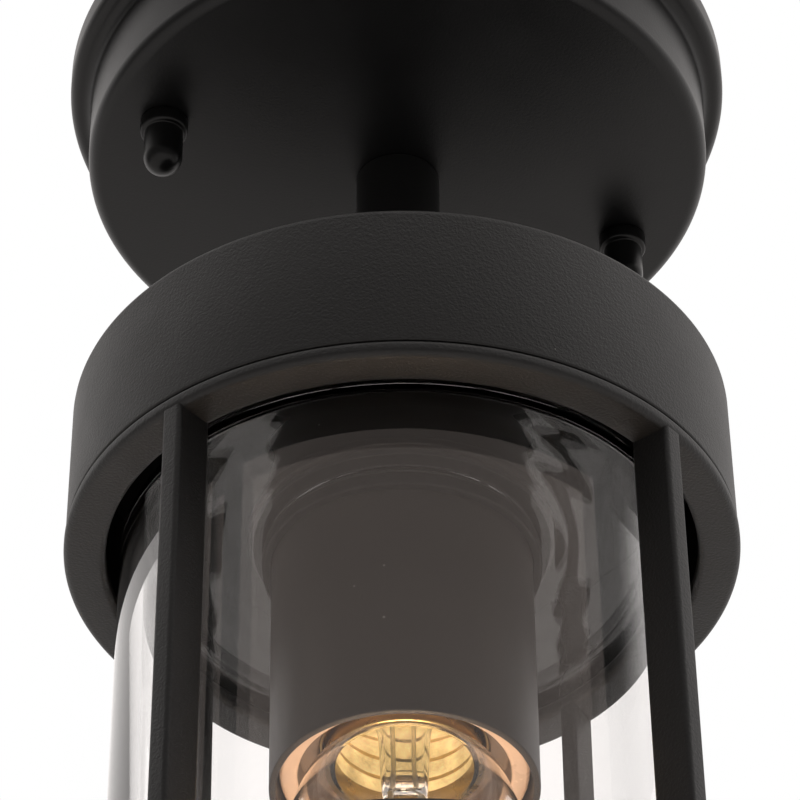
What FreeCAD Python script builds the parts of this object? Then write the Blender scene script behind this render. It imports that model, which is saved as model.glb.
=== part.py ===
import FreeCAD, Part
import math
import os

# Porch ceiling lantern, in millimetres.
# +Z is up. The origin is the centre of the crossbar on the ceiling plane, and the
# lantern hangs below it. X runs along the crossbar, through the two cap nuts.

Vec = FreeCAD.Vector
UP = Vec(0, 0, 1)

# --- ceiling mount -----------------------------------------------------------
crossbar_end_gap = 8.0
crossbar_width = 20.0
crossbar_thick = 2.0
crossbar_end_round = 4.0
box_slot_length = 10.0
box_slot_width = 4.5
slot_to_stud = 9.525
stud_end_margin = 7.55
stud_r = 2.4
stud_nut_flats = 8.0
stud_nut_thick = 3.2
stud_engaged = 7.0
ground_screw_x = 17.0
ground_screw_r = 1.9

# --- canopy ------------------------------------------------------------------
gasket_thick = 1.0
gasket_width = 4.0
gasket_set_in = 0.5
canopy_rim_r = 60.0
canopy_step = 4.0
canopy_depth = 21.0
canopy_sheet = 1.2
canopy_rim_height = 3.0
canopy_edge_round = 2.5

# --- cap nuts ----------------------------------------------------------------
cap_nut_collar_r = 4.25
cap_nut_collar_height = 3.0
cap_nut_dome_r = 3.45
cap_nut_barrel = 5.6
cap_nut_bore_spare = 0.8

# --- stem and threaded pipe --------------------------------------------------
stem_r = 7.5
stem_wall = 1.6
stem_length = 57.0
pipe_stem_gap = 0.9
pipe_wall = 1.2
pipe_end_spare = 2.3
pipe_nut_flats = 14.3
pipe_nut_thick = 5.0
washer_r = 9.5
washer_thick = 1.5

# --- drum --------------------------------------------------------------------
drum_set_in = 0.2
drum_height = 27.5
drum_wall = 2.0
drum_top_thick = 2.0
drum_edge_round = 1.6

# --- cage --------------------------------------------------------------------
ring_glass_gap = 2.25
ring_width = 7.0
ring_thick = 3.0
ring_edge_round = 1.2
bay_height = 80.0
bar_count = 4
bar_thick = 3.8
bar_edge_round = 0.8
bar_turn = 28.7
post_r = 2.5
post_wall_gap = 0.3
cage_screw_r = 1.45
cage_screw_length = 9.0
cage_screw_head_r = 2.8
cage_screw_head_height = 2.0

# --- glass -------------------------------------------------------------------
glass_r = 46.75
glass_wall = 3.0
glass_corner_r = 4.5
glass_rise = 5.5
glass_foot_set_back = 1.5
glass_foot_round = 1.2
upper_gasket_thick = 1.3
upper_gasket_width = 3.0
lower_gasket_thick = 0.5
lower_gasket_width = 1.1
retainer_width = 1.6
retainer_thick = 2.65
retainer_edge_round = 0.5

# --- socket ------------------------------------------------------------------
sleeve_r = 22.0
sleeve_wall = 1.2
sleeve_drop = 42.6
sleeve_edge_round = 3.0
sleeve_flange_width = 4.0
sleeve_flange_thick = 1.5
bushing_r = 8.0
bushing_height = 8.0
bushing_flange_r = 15.0
bushing_flange_thick = 1.5
bushing_gap = 1.5
holder_side_gap = 0.4
holder_mouth_set_back = 2.8
holder_skirt_wall = 3.2
holder_skirt_depth = 5.0
holder_floor_below_tip = 1.6
holder_screw_circle_r = 11.6
holder_screw_r = 1.4
holder_screw_length = 6.0
holder_screw_head_r = 2.7
holder_screw_head_height = 1.8
holder_wire_hole_r = 1.6
holder_wire_hole_x = 6.0
shell_thick = 0.5
shell_lip = 4.0
contact_width = 5.0
contact_length = 12.0
contact_thick = 0.4

# --- bulb --------------------------------------------------------------------
bulb_cap_r = 13.2
bulb_thread_depth = 0.6
bulb_cap_wall = 0.5
bulb_cap_height = 21.6
bulb_thread_pitch = 3.6
bulb_thread_turns = 4
bulb_cap_set_back = 4.6
bulb_insulator_height = 3.0
bulb_insulator_tip_r = 6.0
bulb_contact_r = 5.0
bulb_contact_height = 2.0
bulb_glass_wall = 0.9
bulb_r = 30.0
bulb_centre_drop = 52.0
bulb_flare_r = 15.5
bulb_flare_drop = 2.2
bulb_waist_r = 18.5
bulb_waist_drop = 9.0
bulb_join_angle = 16.0
stem_flare_r = 9.0
stem_neck_r = 3.0
stem_press_drop = 14.0
support_rod_r = 0.9
support_rod_length = 44.0
wire_r = 0.35
filament_r = 0.9
filament_length = 34.0
filament_count = 4
filament_top_circle_r = 4.0
filament_base_circle_r = 10.0

# --- clearances --------------------------------------------------------------
thread_gap = 0.05
hole_gap = 0.3
slip_gap = 0.3
cap_gap = 0.1
touch_gap = 0.05

# --- lengths and radii that follow -------------------------------------------
crossbar_length = 2 * (canopy_rim_r - crossbar_end_gap)
stud_spacing = crossbar_length - 2 * stud_end_margin
box_screw_spacing = stud_spacing - 2 * slot_to_stud
canopy_wall_r = canopy_rim_r - canopy_step
pipe_r = stem_r - stem_wall - pipe_stem_gap
pipe_bore_r = pipe_r - pipe_wall
ring_bore_r = glass_r + ring_glass_gap
ring_r = ring_bore_r + ring_width
drum_r = ring_r - drum_set_in
glass_hole_r = sleeve_r + slip_gap
glass_flat_r = glass_r - glass_corner_r
sleeve_flange_r = sleeve_r + sleeve_flange_width
holder_r = sleeve_r - sleeve_wall - holder_side_gap
bulb_cap_root_r = bulb_cap_r - bulb_thread_depth

# --- heights, measured down from the ceiling plane ---------------------------
canopy_floor_z = -(gasket_thick + canopy_depth)
drum_top_z = canopy_floor_z - stem_length
drum_ceiling_z = drum_top_z - drum_top_thick
ring_top_z = drum_top_z - drum_height
cage_z = ring_top_z - ring_thick
middle_ring_z = cage_z - bay_height - ring_thick
bottom_ring_top_z = middle_ring_z - bay_height
bottom_ring_z = bottom_ring_top_z - ring_thick
sleeve_mouth_z = cage_z - sleeve_drop
bulb_rim_z = sleeve_mouth_z + bulb_cap_set_back
bulb_shell_top_z = bulb_rim_z + bulb_cap_height
bulb_insulator_z = bulb_shell_top_z + bulb_insulator_height
bulb_tip_z = bulb_insulator_z + bulb_contact_height
sleeve_plate_z = drum_ceiling_z - sleeve_wall
lower_nut_z = sleeve_plate_z - washer_thick - pipe_nut_thick
bushing_top_z = lower_nut_z - bushing_gap
bushing_flange_z = bushing_top_z - bushing_height
holder_top_z = bushing_flange_z - bushing_flange_thick
holder_floor_z = bulb_tip_z + holder_floor_below_tip
holder_mouth_z = sleeve_mouth_z + holder_mouth_set_back
holder_ledge_z = holder_mouth_z + holder_skirt_depth
glass_top_z = cage_z + glass_rise
glass_foot_z = bottom_ring_z + glass_foot_set_back
sleeve_flange_z = glass_top_z + upper_gasket_thick
retainer_top_z = glass_top_z - glass_wall - lower_gasket_thick
retainer_z = retainer_top_z - retainer_thick

def ring(outer_r, inner_r, low_z, high_z):
    """Flat ring between two heights."""
    height = high_z - low_z
    disc = Part.makeCylinder(outer_r, height, Vec(0, 0, low_z), UP)
    return disc.cut(Part.makeCylinder(inner_r, height, Vec(0, 0, low_z), UP))


def rod(radius, low_z, high_z, x=0.0, y=0.0):
    """Upright round rod."""
    return Part.makeCylinder(radius, high_z - low_z, Vec(x, y, low_z), UP)


def hexagon(flats, low_z, high_z, x=0.0, y=0.0):
    """Upright hexagonal prism."""
    corners = [at_radius(flats / math.sqrt(3.0), 60 * n) for n in range(6)]
    places = [Vec(x + dx, y + dy, low_z) for dx, dy in corners]
    outline = Part.makePolygon(places + places[:1])
    return Part.Face(outline).extrude(Vec(0, 0, high_z - low_z))


def at_radius(radius, angle):
    """Point on a circle about the lantern's axis, with the angle in degrees from X."""
    return radius * math.cos(math.radians(angle)), radius * math.sin(math.radians(angle))


def turned(edges):
    """Solid of revolution about Z from edges that close a profile in the XZ plane."""
    profile = Part.Face(Part.Wire(edges))
    return profile.revolve(Vec(0, 0, 0), UP, 360)


def line(start, end):
    """Straight edge between two (radius, height) points."""
    return Part.makeLine(Vec(start[0], 0, start[1]), Vec(end[0], 0, end[1]))


def arc(start, end, centre):
    """Arc about a centre, the short way between two (radius, height) points."""
    mid_x = (start[0] + end[0]) / 2.0 - centre[0]
    mid_z = (start[1] + end[1]) / 2.0 - centre[1]
    reach = math.hypot(start[0] - centre[0], start[1] - centre[1])
    scale = reach / math.hypot(mid_x, mid_z)
    middle = Vec(centre[0] + mid_x * scale, 0, centre[1] + mid_z * scale)
    return Part.Arc(Vec(start[0], 0, start[1]), middle, Vec(end[0], 0, end[1])).toShape()


def curve(points):
    """Smooth curve through (radius, height) points."""
    spline = Part.BSplineCurve()
    spline.interpolate([Vec(r, 0, z) for r, z in points])
    return spline.toShape()


def bar_angles():
    """Angles of the cage bars about the axis."""
    return [bar_turn + 360.0 * n / bar_count for n in range(bar_count)]


def stud_places():
    """X positions of the two canopy studs."""
    return [-stud_spacing / 2.0, stud_spacing / 2.0]


# --- ceiling mount -----------------------------------------------------------


def slot(centre_x):
    """Cutter for one crossbar slot, which runs along X."""
    half_run = (box_slot_length - box_slot_width) / 2.0
    radius = box_slot_width / 2.0
    corner = Vec(centre_x - half_run, -radius, -crossbar_thick)
    body = Part.makeBox(2 * half_run, box_slot_width, crossbar_thick, corner)
    ends = [rod(radius, -crossbar_thick, 0, x) for x in (centre_x - half_run, centre_x + half_run)]
    return body.fuse(ends)


def crossbar():
    """Steel strap screwed to the ceiling box, with tapped holes for the studs and the ground screw."""
    corner = Vec(-crossbar_length / 2.0, -crossbar_width / 2.0, -crossbar_thick)
    bar = Part.makeBox(crossbar_length, crossbar_width, crossbar_thick, corner)
    corners = [edge for edge in bar.Edges if abs(edge.tangentAt(edge.FirstParameter).z) > 0.99]
    bar = bar.makeFillet(crossbar_end_round, corners)
    cutters = [slot(-box_screw_spacing / 2.0), slot(box_screw_spacing / 2.0)]
    cutters.append(rod(ground_screw_r + thread_gap, -crossbar_thick, 0, ground_screw_x))
    cutters += [rod(stud_r + thread_gap, -crossbar_thick, 0, x) for x in stud_places()]
    return bar.cut(cutters)


def canopy_studs():
    """Two threaded studs that hang from the crossbar through the canopy."""
    low_z = canopy_floor_z - stud_engaged
    studs = []
    for x in stud_places():
        stud = rod(stud_r, low_z, 0, x)
        tip = [edge for edge in stud.Edges if abs(edge.CenterOfMass.z - low_z) < 1e-6]
        studs.append(stud.makeChamfer(stud_r / 4.0, tip))
    return Part.makeCompound(studs)


def stud_lock_nuts():
    """Two hexagon nuts that lock the studs under the crossbar."""
    nuts = []
    for x in stud_places():
        nut = hexagon(stud_nut_flats, -crossbar_thick - stud_nut_thick, -crossbar_thick, x)
        nuts.append(nut.cut(rod(stud_r + thread_gap, -crossbar_thick - stud_nut_thick, -crossbar_thick, x)))
    return Part.makeCompound(nuts)


def ground_screw():
    """Ground terminal screw in the crossbar, head down."""
    head_r = ground_screw_r * 2.0
    head_height = ground_screw_r * 1.1
    head_z = -crossbar_thick - head_height
    shank = rod(ground_screw_r, -crossbar_thick, 0, ground_screw_x)
    head = rod(head_r, head_z, -crossbar_thick, ground_screw_x)
    slot_corner = Vec(ground_screw_x - head_r, -head_r * 0.125, head_z)
    slot_cut = Part.makeBox(head_r * 2, head_r * 0.25, head_height * 0.5, slot_corner)
    return head.fuse(shank).cut(slot_cut)


# --- canopy ------------------------------------------------------------------


def canopy_outline(inset):
    """Closed profile of the canopy's outside, drawn in by a thickness."""
    step = (canopy_rim_r - canopy_wall_r) / 2.0
    rim_r = canopy_rim_r - inset
    wall_r = canopy_wall_r - inset
    top_z = -gasket_thick
    floor_z = canopy_floor_z + inset
    ledge_z = top_z - canopy_rim_height
    round_out = step - inset
    round_in = step + inset
    edge = canopy_edge_round - inset
    shoulder = (rim_r - round_out, ledge_z - round_out)
    foot = (wall_r, ledge_z - round_out - round_in)
    corner = (wall_r, floor_z + edge)
    flat = (wall_r - edge, floor_z)
    return [
        line((0, top_z), (rim_r, top_z)),
        line((rim_r, top_z), (rim_r, ledge_z)),
        arc((rim_r, ledge_z), shoulder, (rim_r - round_out, ledge_z)),
        arc(shoulder, foot, (wall_r + round_in, ledge_z - round_out - round_in)),
        line(foot, corner),
        arc(corner, flat, (wall_r - edge, floor_z + edge)),
        line(flat, (0, floor_z)),
        line((0, floor_z), (0, top_z)),
    ]


def canopy():
    """Spun sheet canopy: rim, cove, side wall and flat underside, with its three holes."""
    shell = turned(canopy_outline(0.0)).cut(turned(canopy_outline(canopy_sheet)))
    holes = [rod(stud_r + hole_gap, canopy_floor_z, canopy_floor_z + canopy_sheet, x) for x in stud_places()]
    holes.append(rod(pipe_r + hole_gap, canopy_floor_z, canopy_floor_z + canopy_sheet))
    return shell.cut(holes)


def canopy_gasket():
    """Foam ring between the canopy's rim and the ceiling."""
    outer_r = canopy_rim_r - gasket_set_in
    return ring(outer_r, outer_r - gasket_width, -gasket_thick, 0)


def cap_nut(x):
    """Cap nut with a collar and a domed end, bored for its stud."""
    top_z = canopy_floor_z
    collar_z = top_z - cap_nut_collar_height
    dome_z = collar_z - cap_nut_barrel
    profile = [
        line((0, top_z), (cap_nut_collar_r, top_z)),
        line((cap_nut_collar_r, top_z), (cap_nut_collar_r, collar_z)),
        line((cap_nut_collar_r, collar_z), (cap_nut_dome_r, collar_z)),
        line((cap_nut_dome_r, collar_z), (cap_nut_dome_r, dome_z)),
        arc((cap_nut_dome_r, dome_z), (0, dome_z - cap_nut_dome_r), (0, dome_z)),
        line((0, dome_z - cap_nut_dome_r), (0, top_z)),
    ]
    nut = turned(profile)
    nut.translate(Vec(x, 0, 0))
    return nut.cut(rod(stud_r + thread_gap, top_z - stud_engaged - cap_nut_bore_spare, top_z, x))


# --- stem and threaded pipe --------------------------------------------------


def stem_tube():
    """Round tube between the canopy and the drum."""
    return ring(stem_r, stem_r - stem_wall, drum_top_z, canopy_floor_z)


def threaded_pipe():
    """Hollow threaded pipe that clamps canopy, stem, drum and sleeve, and carries the lamp holder."""
    top_z = canopy_floor_z + canopy_sheet + washer_thick + pipe_nut_thick + pipe_end_spare
    return ring(pipe_r, pipe_bore_r, bushing_flange_z, top_z)


def upper_washer():
    """Washer on the canopy's floor."""
    low_z = canopy_floor_z + canopy_sheet
    return ring(washer_r, pipe_r + hole_gap, low_z, low_z + washer_thick)


def lower_washer():
    """Washer under the sleeve's top plate."""
    return ring(washer_r, pipe_r + hole_gap, sleeve_plate_z - washer_thick, sleeve_plate_z)


def pipe_nut(low_z):
    """Thin hexagon nut on the threaded pipe."""
    nut = hexagon(pipe_nut_flats, low_z, low_z + pipe_nut_thick)
    return nut.cut(rod(pipe_r + thread_gap, low_z, low_z + pipe_nut_thick))


# --- drum --------------------------------------------------------------------


def post_circle_r():
    """Radius at which the posts stand, just inside the drum's wall."""
    return drum_r - drum_wall - post_wall_gap - post_r


def drum_outline(inset, low_z):
    """Closed profile of the drum's outside, drawn in by its wall."""
    radius = drum_r - inset
    top_z = drum_top_z - (drum_top_thick if inset else 0.0)
    edge = max(drum_edge_round - inset, 0.4)
    return [
        line((0, low_z), (radius, low_z)),
        line((radius, low_z), (radius, top_z - edge)),
        arc((radius, top_z - edge), (radius - edge, top_z), (radius - edge, top_z - edge)),
        line((radius - edge, top_z), (0, top_z)),
        line((0, top_z), (0, low_z)),
    ]


def drum():
    """Round cap over the cage, open below, with holes for the pipe and the cage screws."""
    shell = turned(drum_outline(0.0, ring_top_z)).cut(turned(drum_outline(drum_wall, ring_top_z)))
    holes = [rod(pipe_r + hole_gap, drum_ceiling_z, drum_top_z)]
    for angle in bar_angles():
        x, y = at_radius(post_circle_r(), angle)
        holes.append(rod(cage_screw_r + hole_gap, drum_ceiling_z, drum_top_z, x, y))
    return shell.cut(holes)


# --- cage --------------------------------------------------------------------


def cage_ring(low_z):
    """Flat cage ring with rounded edges."""
    body = ring(ring_r, ring_bore_r, low_z, low_z + ring_thick)
    edges = [edge for edge in body.Edges if len(edge.Vertexes) == 1]
    return body.makeFillet(ring_edge_round, edges)


def frame_top_ring():
    """Ring that closes the drum."""
    return cage_ring(cage_z)


def frame_bar(angle):
    """Flat bar with rounded long edges, edge on to the axis, from the top ring to the bottom ring."""
    corner = Vec(ring_bore_r, -bar_thick / 2.0, bottom_ring_top_z)
    bar = Part.makeBox(ring_width, bar_thick, cage_z - bottom_ring_top_z, corner)
    long_edges = [edge for edge in bar.Edges if abs(edge.tangentAt(edge.FirstParameter).z) > 0.99]
    bar = bar.makeFillet(bar_edge_round, long_edges)
    bar.rotate(Vec(0, 0, 0), UP, angle)
    return bar


def frame_middle_arcs():
    """Middle ring, in one arc between each two bars."""
    body = cage_ring(middle_ring_z)
    corner = Vec(ring_bore_r - ring_width, -bar_thick / 2, middle_ring_z)
    for angle in bar_angles():
        gap = Part.makeBox(ring_width * 3, bar_thick, ring_thick, corner)
        gap.rotate(Vec(0, 0, 0), UP, angle)
        body = body.cut(gap)
    return Part.makeCompound(body.Solids)


def frame_bottom_ring():
    """Ring at the foot of the cage."""
    return cage_ring(bottom_ring_z)


def frame_posts():
    """Tapped posts that stand on the top ring, over the bars, and reach the drum's ceiling."""
    posts = []
    for angle in bar_angles():
        x, y = at_radius(post_circle_r(), angle)
        post = rod(post_r, ring_top_z, drum_ceiling_z, x, y)
        hole = rod(cage_screw_r + thread_gap, drum_ceiling_z - cage_screw_length, drum_ceiling_z, x, y)
        posts.append(post.cut(hole))
    return Part.makeCompound(posts)


def pan_screw(x, y, seat_z, length, shank_r, head_r, head_height):
    """Pan-head screw with a cross recess, head up, whose head lies on seat_z."""
    shank = rod(shank_r, -length, 0)
    head = rod(head_r, 0, head_height)
    rim = [edge for edge in head.Edges if abs(edge.CenterOfMass.z - head_height) < 1e-6]
    head = head.makeFillet(head_height * 0.55, rim)
    recess = head_r * 1.1
    slot_width = head_r * 0.28
    bars = [
        Part.makeBox(recess, slot_width, head_height, Vec(-recess / 2, -slot_width / 2, head_height * 0.45)),
        Part.makeBox(slot_width, recess, head_height, Vec(-slot_width / 2, -recess / 2, head_height * 0.45)),
    ]
    screw = head.fuse(shank).cut(bars)
    screw.translate(Vec(x, y, seat_z))
    return screw


def cage_screws():
    """Screws through the drum's top into the posts."""
    screws = []
    for angle in bar_angles():
        x, y = at_radius(post_circle_r(), angle)
        head = (cage_screw_head_r, cage_screw_head_height)
        screws.append(pan_screw(x, y, drum_top_z, cage_screw_length, cage_screw_r, *head))
    return Part.makeCompound(screws)


# --- glass -------------------------------------------------------------------


def glass():
    """Clear cylinder, open below, with a rounded corner and a flat top that has a hole for the sleeve."""
    inner_r = glass_r - glass_wall
    flat_r = glass_flat_r
    shoulder_z = glass_top_z - glass_corner_r
    centre = (flat_r, shoulder_z)
    hole_r = glass_hole_r
    under_z = glass_top_z - glass_wall
    foot = glass_foot_round
    foot_z = glass_foot_z + foot
    profile = [
        line((inner_r, foot_z), (inner_r, shoulder_z)),
        arc((inner_r, shoulder_z), (flat_r, under_z), centre),
        line((flat_r, under_z), (hole_r, under_z)),
        line((hole_r, under_z), (hole_r, glass_top_z)),
        line((hole_r, glass_top_z), (flat_r, glass_top_z)),
        arc((flat_r, glass_top_z), (glass_r, shoulder_z), centre),
        line((glass_r, shoulder_z), (glass_r, foot_z)),
        arc((glass_r, foot_z), (glass_r - foot, glass_foot_z), (glass_r - foot, foot_z)),
        line((glass_r - foot, glass_foot_z), (inner_r + foot, glass_foot_z)),
        arc((inner_r + foot, glass_foot_z), (inner_r, foot_z), (inner_r + foot, foot_z)),
    ]
    return turned(profile)


def upper_gasket():
    """Soft ring between the sleeve's flange and the glass."""
    return ring(glass_hole_r + upper_gasket_width, glass_hole_r, glass_top_z, sleeve_flange_z)


def lower_gasket():
    """Soft ring between the glass and the retaining ring."""
    return ring(glass_hole_r + lower_gasket_width, glass_hole_r, retainer_top_z, glass_top_z - glass_wall)


def retaining_ring():
    """Ring threaded on the sleeve that holds the glass up against the flange."""
    outer_r = sleeve_r + retainer_width
    body = ring(outer_r, sleeve_r + thread_gap, retainer_z, retainer_top_z)
    rim = [edge for edge in body.Edges if len(edge.Vertexes) == 1 and edge.BoundBox.XLength > 2 * outer_r - 1]
    return body.makeFillet(retainer_edge_round, rim)


# --- socket ------------------------------------------------------------------


def socket_sleeve():
    """Deep cup over the lamp holder, clamped under the drum's ceiling, with a flange for the glass."""
    bore_r = sleeve_r - sleeve_wall
    outer = turned(cup_outline(sleeve_r, drum_ceiling_z, sleeve_mouth_z, sleeve_edge_round))
    inner = turned(cup_outline(bore_r, sleeve_plate_z, sleeve_mouth_z, sleeve_edge_round - sleeve_wall))
    flange = ring(sleeve_flange_r, bore_r, sleeve_flange_z, sleeve_flange_z + sleeve_flange_thick)
    return outer.cut(inner).fuse(flange).cut(rod(pipe_r + hole_gap, sleeve_plate_z, drum_ceiling_z))


def cup_outline(radius, top_z, low_z, edge):
    """Closed profile of a plain cylinder with a rounded top edge."""
    return [
        line((0, low_z), (radius, low_z)),
        line((radius, low_z), (radius, top_z - edge)),
        arc((radius, top_z - edge), (radius - edge, top_z), (radius - edge, top_z - edge)),
        line((radius - edge, top_z), (0, top_z)),
        line((0, top_z), (0, low_z)),
    ]


def holder_bushing():
    """Flanged bushing threaded on the pipe's lower end."""
    tube = ring(bushing_r, pipe_r + thread_gap, bushing_flange_z, bushing_top_z)
    flange = ring(bushing_flange_r, pipe_bore_r, holder_top_z, bushing_flange_z)
    body = tube.fuse(flange)
    for side in (-1, 1):
        hole = rod(holder_screw_r + hole_gap, holder_top_z, bushing_flange_z, 0, side * holder_screw_circle_r)
        body = body.cut(hole)
    return body


def holder_screws():
    """Two screws that hold the lamp holder to its bushing."""
    screws = []
    for y in (-holder_screw_circle_r, holder_screw_circle_r):
        head = (holder_screw_head_r, holder_screw_head_height)
        screws.append(pan_screw(0, y, bushing_flange_z, holder_screw_length, holder_screw_r, *head))
    return Part.makeCompound(screws)


def holder_bore_r():
    """Radius of the lamp holder's bore, round the screw shell."""
    return bulb_cap_r + cap_gap + shell_thick + touch_gap


def lamp_holder():
    """Moulded lamp holder with a skirt round the bulb's neck, a bore, wire holes and screw holes."""
    body = rod(holder_r, holder_mouth_z, holder_top_z)
    cutters = [rod(holder_r - holder_skirt_wall, holder_mouth_z, holder_ledge_z)]
    cutters.append(rod(holder_bore_r(), holder_ledge_z, holder_floor_z))
    screw_end_z = bushing_flange_z - holder_screw_length
    for side in (-1, 1):
        cutters.append(rod(holder_wire_hole_r, holder_floor_z, holder_top_z, side * holder_wire_hole_x))
        y = side * holder_screw_circle_r
        cutters.append(rod(holder_screw_r + thread_gap, screw_end_z, holder_top_z, 0, y))
    return body.cut(cutters)


def holder_shell():
    """Brass screw shell that grips the bulb's cap."""
    inner_r = bulb_cap_r + cap_gap
    tube = ring(inner_r + shell_thick, inner_r, holder_ledge_z + shell_thick, holder_floor_z)
    lip = ring(inner_r + shell_thick, inner_r - shell_lip, holder_floor_z - shell_thick, holder_floor_z)
    return tube.fuse(lip)


def holder_contact():
    """Sprung brass tongue over the bulb's centre contact."""
    half = contact_length / 2.0
    low_z = bulb_tip_z + touch_gap
    points = [
        (-half, holder_floor_z),
        (-half, holder_floor_z - contact_thick),
        (-half * 0.55, holder_floor_z - contact_thick),
        (-half * 0.15, low_z),
        (half * 0.45, low_z),
        (half * 0.45, low_z + contact_thick),
        (-half * 0.05, low_z + contact_thick),
        (-half * 0.45, holder_floor_z),
    ]
    corners = [Vec(x, -contact_width / 2.0, z) for x, z in points]
    side = Part.Face(Part.makePolygon(corners + corners[:1]))
    return side.extrude(Vec(0, contact_width, 0))


# --- bulb --------------------------------------------------------------------


def bulb_cap_bore_r():
    """Inside radius of the bulb's metal cap."""
    return bulb_cap_root_r - bulb_cap_wall


def bulb_cap():
    """Metal screw cap with rounded thread ridges."""
    body = ring(bulb_cap_root_r, bulb_cap_bore_r(), bulb_rim_z, bulb_shell_top_z)
    rise = bulb_cap_r - bulb_cap_root_r
    first_z = bulb_rim_z + bulb_thread_pitch * 1.3
    half = bulb_thread_pitch * 0.32
    inner_r = bulb_cap_root_r - bulb_cap_wall / 2
    for n in range(bulb_thread_turns):
        z = first_z + n * bulb_thread_pitch
        foot = Vec(bulb_cap_root_r, 0, z - half)
        crest = Vec(bulb_cap_root_r + rise, 0, z)
        head = Vec(bulb_cap_root_r, 0, z + half)
        ridge = [
            line((inner_r, z - half), (bulb_cap_root_r, z - half)),
            Part.Arc(foot, crest, head).toShape(),
            line((bulb_cap_root_r, z + half), (inner_r, z + half)),
            line((inner_r, z + half), (inner_r, z - half)),
        ]
        body = body.fuse(turned(ridge))
    collar = ring(bulb_cap_r, bulb_cap_bore_r(), bulb_rim_z, bulb_rim_z + bulb_thread_pitch * 0.6)
    return body.fuse(collar).removeSplitter()


def bulb_insulator():
    """Dark insulating cone between the cap and the centre contact."""
    low_z = bulb_shell_top_z
    return Part.makeCone(
        bulb_cap_root_r, bulb_insulator_tip_r, bulb_insulator_z - low_z, Vec(0, 0, low_z), UP
    )


def bulb_contact():
    """Centre contact of the bulb."""
    low_z = bulb_insulator_z
    body = rod(bulb_contact_r, low_z, bulb_tip_z)
    rim = [edge for edge in body.Edges if abs(edge.CenterOfMass.z - bulb_tip_z) < 1e-6]
    return body.makeFillet(bulb_contact_height * 0.6, rim)


def bulb_neck_r():
    """Radius of the glass neck inside the metal cap."""
    return bulb_cap_bore_r() - touch_gap * 2


def envelope_outline(wall):
    """Closed profile of the bulb glass, drawn in by its wall: neck, flare, cone and ball."""
    neck_r = bulb_neck_r() - wall
    neck_top_z = bulb_rim_z + bulb_cap_height * 0.75 - wall
    leave_z = bulb_rim_z - bulb_glass_wall / 4
    centre = (0, bulb_rim_z - bulb_centre_drop)
    ball_r = bulb_r - wall
    join_x, join_rise = at_radius(ball_r, bulb_join_angle)
    join = (join_x, centre[1] + join_rise)
    flare = (bulb_flare_r - wall, bulb_rim_z - bulb_flare_drop)
    waist = (bulb_waist_r - wall, bulb_rim_z - bulb_waist_drop)
    cone = ((waist[0] + join[0]) / 2, (waist[1] + join[1]) / 2)
    tip = (0, centre[1] - ball_r)
    return [
        line((0, neck_top_z), (neck_r, neck_top_z)),
        line((neck_r, neck_top_z), (neck_r, leave_z)),
        curve([(neck_r, leave_z), flare, waist, cone, join]),
        arc(join, tip, centre),
        line(tip, (0, neck_top_z)),
    ]


def bulb_envelope():
    """Clear blown glass of the bulb, hollow."""
    return turned(envelope_outline(0.0)).cut(turned(envelope_outline(bulb_glass_wall)))


def press_z():
    """Lower end of the glass stem, where the wires leave it."""
    return bulb_rim_z - stem_press_drop


def bulb_stem():
    """Flared glass stem that seals the wires, with the rod that carries the filaments."""
    top_z = bulb_rim_z + bulb_cap_height * 0.75 - bulb_glass_wall - touch_gap
    low_z = press_z()
    flare_z = top_z - stem_flare_r * 1.2
    profile = [
        line((0, top_z), (stem_flare_r, top_z)),
        curve([(stem_flare_r, top_z), (stem_neck_r * 1.35, flare_z), (stem_neck_r, low_z)]),
        line((stem_neck_r, low_z), (0, low_z)),
        line((0, low_z), (0, top_z)),
    ]
    return turned(profile).fuse(rod(support_rod_r, low_z - support_rod_length, low_z))


def filament_line(angle):
    """Upper and lower end of one filament."""
    top_x, top_y = at_radius(filament_top_circle_r, angle)
    low_x, low_y = at_radius(filament_base_circle_r, angle)
    top_z = press_z() - stem_neck_r * 1.5
    spread = filament_base_circle_r - filament_top_circle_r
    drop = math.sqrt(filament_length**2 - spread**2)
    return Vec(top_x, top_y, top_z), Vec(low_x, low_y, top_z - drop)


def filament_angles():
    """Angles of the filaments about the axis."""
    return [45.0 + 360.0 * n / filament_count for n in range(filament_count)]


def bulb_filaments():
    """Slim filaments that spread out towards the bulb's tip."""
    sticks = []
    for angle in filament_angles():
        top, low = filament_line(angle)
        sticks.append(Part.makeCylinder(filament_r, filament_length, top, low - top))
    return Part.makeCompound(sticks)


def wire(start, end):
    """Straight round wire with rounded ends."""
    run = end - start
    body = Part.makeCylinder(wire_r, run.Length, start, run)
    ends = [Part.makeSphere(wire_r, start), Part.makeSphere(wire_r, end)]
    return body.fuse(ends)


def bulb_wires():
    """Wires from the glass stem to the filaments' upper ends and from their lower ends to the rod."""
    wires = []
    rod_z = press_z() - support_rod_length
    for angle in filament_angles():
        top, low = filament_line(angle)
        out_x, out_y = at_radius(stem_neck_r * 0.55, angle)
        along = (low - top).normalize()
        stem_end = Vec(out_x, out_y, press_z() - wire_r - touch_gap)
        wires.append(wire(stem_end, top - along * (wire_r + touch_gap)))
        hub_x, hub_y = at_radius(support_rod_r + wire_r + touch_gap, angle)
        wires.append(wire(low + along * (wire_r + touch_gap), Vec(hub_x, hub_y, rod_z + wire_r)))
    return Part.makeCompound(wires)


# --- nodes -------------------------------------------------------------------


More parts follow.
